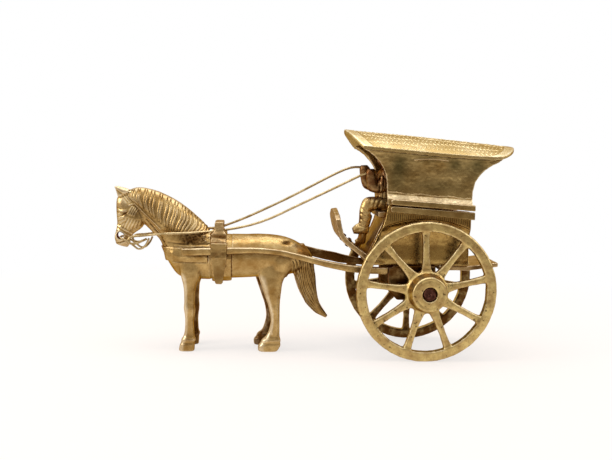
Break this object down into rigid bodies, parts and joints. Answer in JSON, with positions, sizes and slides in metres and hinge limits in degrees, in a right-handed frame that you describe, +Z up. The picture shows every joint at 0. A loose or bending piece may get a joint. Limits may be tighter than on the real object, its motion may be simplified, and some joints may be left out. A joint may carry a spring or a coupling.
{
  "type": "horse-drawn carriage model",
  "caption": "Cast-brass toy cart with a crowned hood and spoked wheels, drawn by a harnessed horse and driven by a seated driver with wire reins.",
  "frame": {"origin": "middle of the bounding box's base, on the ground", "axes": "+X from the horse's head to the cart's rear, +Y to the far side, +Z up"},
  "size_m": [0.3094, 0.102, 0.1736],
  "materials": {
    "cast_brass": "cast and filed, dull",
    "wheel_brass": "cast, greenish and pitted",
    "hood_brass": "rubbed, satin",
    "wire_brass": "drawn wire, satin",
    "dark_steel": "rusted steel, dark"
  },
  "bodies": {
    "cart_and_horse": {"axle": "dark_steel", "near_axle_bracket": "cast_brass", "far_axle_bracket": "cast_brass", "near_shaft": "cast_brass", "far_shaft": "cast_brass", "near_tub_side": "hood_brass", "far_tub_side": "hood_brass", "tub_floor": "cast_brass", "seat_board": "cast_brass", "seat_riser": "cast_brass", "rear_riser": "cast_brass", "near_lower_rail": "hood_brass", "far_lower_rail": "hood_brass", "near_upper_rail": "hood_brass", "far_upper_rail": "hood_brass", "near_hood_side": "hood_brass", "far_hood_side": "hood_brass", "roof": "hood_brass", "footboard": "cast_brass", "near_front_rivet": "cast_brass", "near_rear_rivet": "cast_brass", "far_front_rivet": "cast_brass", "far_rear_rivet": "cast_brass", "rear_step": "cast_brass", "horse": "cast_brass", "saddle": "cast_brass", "girth": "cast_brass", "near_tug": "cast_brass", "far_tug": "cast_brass", "breast_collar": "cast_brass", "driver": "cast_brass", "near_rein": "wire_brass", "far_rein": "wire_brass", "bit_wire": "wire_brass"},
    "near_wheel": {"near_wheel": "wheel_brass"},
    "far_wheel": {"far_wheel": "wheel_brass"}
  },
  "joints": [
    {"name": "near_wheel_spin", "type": "hinge", "parent": "cart_and_horse", "child": "near_wheel", "pos_m": [0.0832, -0.0375, 0.053], "axis": [0, 1, 0], "continuous": true},
    {"name": "far_wheel_spin", "type": "hinge", "parent": "cart_and_horse", "child": "far_wheel", "pos_m": [0.0832, 0.0375, 0.053], "axis": [0, 1, 0], "continuous": true}
  ]
}
